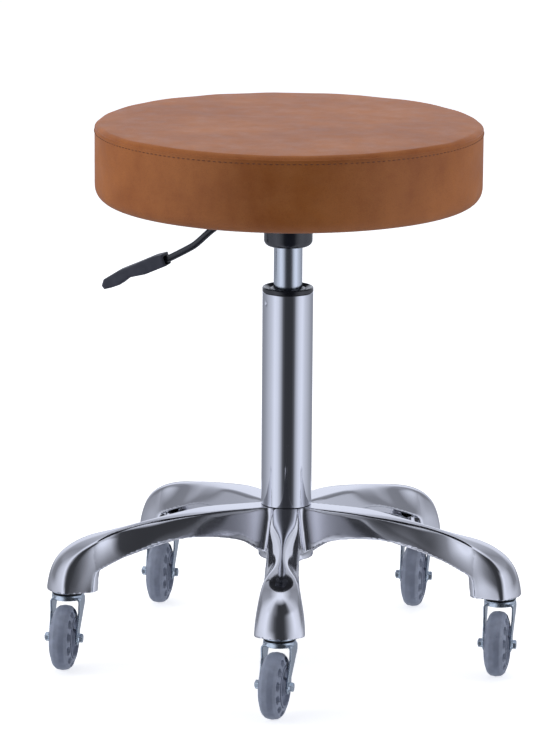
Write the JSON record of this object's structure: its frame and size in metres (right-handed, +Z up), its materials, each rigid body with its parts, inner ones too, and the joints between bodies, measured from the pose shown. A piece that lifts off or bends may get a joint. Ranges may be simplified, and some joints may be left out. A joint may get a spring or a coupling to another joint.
{
  "type": "dentist stool",
  "caption": "Round padded stool on a gas lift with a release lever, a polished star base of drooping arms and swivel castors; the seat turns and rises.",
  "frame": {"origin": "on the floor, under the middle of the footprint; the column axis stands at y = +35 mm, because all castors trail forward", "axes": "+Z up, -Y towards the front arm, +X to the right when looking along +Y"},
  "size_m": [0.4653, 0.471, 0.53],
  "materials": {
    "polished_aluminium": "mirror-polished casting, soft edges",
    "chrome": "bright chrome plate",
    "zinc_steel": "bright zinc plate with a blue tint",
    "plain_steel": "machined steel",
    "black_plastic": "moulded black plastic, slight gloss",
    "black_enamel": "black powder coat",
    "lever_plastic": "slate-black moulded plastic",
    "black_rubber": "black rubber",
    "castor_grey": "grey moulded core",
    "tyre_grey": "smooth grey polyurethane tread",
    "tan_leather": "tan leather look, fine grain, stitched top seam",
    "foam": "open-cell foam",
    "plywood": "birch plywood",
    "dust_cloth": "black non-woven cloth"
  },
  "bodies": {
    "root": {"base": "polished_aluminium", "outer_column": "chrome", "guide_bush": "black_plastic", "bottom_washer": "plain_steel", "thrust_bearing": "plain_steel", "castor_1_stem": "zinc_steel", "castor_1_bearing": "black_rubber", "castor_2_stem": "zinc_steel", "castor_2_bearing": "black_rubber", "castor_3_stem": "zinc_steel", "castor_3_bearing": "black_rubber", "castor_4_stem": "zinc_steel", "castor_4_bearing": "black_rubber", "castor_5_stem": "zinc_steel", "castor_5_bearing": "black_rubber"},
    "piston": {"piston_rod": "plain_steel", "piston": "black_plastic", "retaining_clip": "plain_steel", "rubber_bumper": "black_rubber"},
    "seat": {"gas_cylinder": "chrome", "rod_seal": "black_rubber", "taper_socket": "black_enamel", "seat_plate": "black_enamel", "lever_pin": "plain_steel", "plate_screw_1": "plain_steel", "plate_screw_2": "plain_steel", "plate_screw_3": "plain_steel", "plate_screw_4": "plain_steel", "dust_cover": "dust_cloth", "seat_board": "plywood", "seat_foam": "foam", "seat_cover": "tan_leather"},
    "lever": {"lever_rod": "black_enamel", "lever_grip": "lever_plastic"},
    "button": {"release_button": "plain_steel"},
    "castor_1": {"castor_1_fork": "zinc_steel", "castor_1_axle_bolt": "zinc_steel", "castor_1_axle_nut": "zinc_steel"},
    "castor_1_wheel": {"castor_1_hub": "castor_grey", "castor_1_tyre": "tyre_grey"},
    "castor_2": {"castor_2_fork": "zinc_steel", "castor_2_axle_bolt": "zinc_steel", "castor_2_axle_nut": "zinc_steel"},
    "castor_2_wheel": {"castor_2_hub": "castor_grey", "castor_2_tyre": "tyre_grey"},
    "castor_3": {"castor_3_fork": "zinc_steel", "castor_3_axle_bolt": "zinc_steel", "castor_3_axle_nut": "zinc_steel"},
    "castor_3_wheel": {"castor_3_hub": "castor_grey", "castor_3_tyre": "tyre_grey"},
    "castor_4": {"castor_4_fork": "zinc_steel", "castor_4_axle_bolt": "zinc_steel", "castor_4_axle_nut": "zinc_steel"},
    "castor_4_wheel": {"castor_4_hub": "castor_grey", "castor_4_tyre": "tyre_grey"},
    "castor_5": {"castor_5_fork": "zinc_steel", "castor_5_axle_bolt": "zinc_steel", "castor_5_axle_nut": "zinc_steel"},
    "castor_5_wheel": {"castor_5_hub": "castor_grey", "castor_5_tyre": "tyre_grey"}
  },
  "joints": [
    {"name": "seat_swivel", "type": "hinge", "parent": "root", "child": "piston", "pos_m": [0, 0.035, 0.1], "axis": [0, 0, 1], "continuous": true},
    {"name": "seat_lift", "type": "slide", "parent": "piston", "child": "seat", "axis": [0, 0, 1], "range_m": [0, 0.16]},
    {"name": "lever_pull", "type": "hinge", "parent": "seat", "child": "lever", "pos_m": [-0.02898, 0.04276, 0.44], "axis": [0.2588, 0.9659, 0], "range_deg": [0, 6], "stiffness_Nm_per_rad": 8},
    {"name": "button_press", "type": "slide", "parent": "seat", "child": "button", "axis": [0, 0, -1], "range_m": [0, 0.0035], "stiffness_N_per_m": 2000},
    {"name": "castor_1_swivel", "type": "hinge", "parent": "root", "child": "castor_1", "pos_m": [0, -0.187, 0.075], "axis": [0, 0, 1], "continuous": true},
    {"name": "castor_1_roll", "type": "hinge", "parent": "castor_1", "child": "castor_1_wheel", "pos_m": [-0.00382, -0.20356, 0.032], "axis": [0.9744, -0.225, 0], "continuous": true},
    {"name": "castor_2_swivel", "type": "hinge", "parent": "root", "child": "castor_2", "pos_m": [0.21113, -0.0336, 0.075], "axis": [0, 0, 1], "continuous": true},
    {"name": "castor_2_roll", "type": "hinge", "parent": "castor_2", "child": "castor_2_wheel", "pos_m": [0.20877, -0.05044, 0.032], "axis": [0.9903, -0.1392, 0], "continuous": true},
    {"name": "castor_3_swivel", "type": "hinge", "parent": "root", "child": "castor_3", "pos_m": [0.13049, 0.2146, 0.075], "axis": [0, 0, 1], "continuous": true},
    {"name": "castor_3_roll", "type": "hinge", "parent": "castor_3", "child": "castor_3_wheel", "pos_m": [0.12812, 0.19777, 0.032], "axis": [0.9903, -0.1392, 0], "continuous": true},
    {"name": "castor_4_swivel", "type": "hinge", "parent": "root", "child": "castor_4", "pos_m": [-0.13049, 0.2146, 0.075], "axis": [0, 0, 1], "continuous": true},
    {"name": "castor_4_roll", "type": "hinge", "parent": "castor_4", "child": "castor_4_wheel", "pos_m": [-0.13285, 0.19777, 0.032], "axis": [0.9903, -0.1392, 0], "continuous": true},
    {"name": "castor_5_swivel", "type": "hinge", "parent": "root", "child": "castor_5", "pos_m": [-0.21113, -0.0336, 0.075], "axis": [0, 0, 1], "continuous": true},
    {"name": "castor_5_roll", "type": "hinge", "parent": "castor_5", "child": "castor_5_wheel", "pos_m": [-0.2135, -0.05044, 0.032], "axis": [0.9903, -0.1392, 0], "continuous": true}
  ],
  "couplings": [
    {"joint": "button_press", "follows": "lever_pull", "m_per_rad": 0.0334}
  ]
}
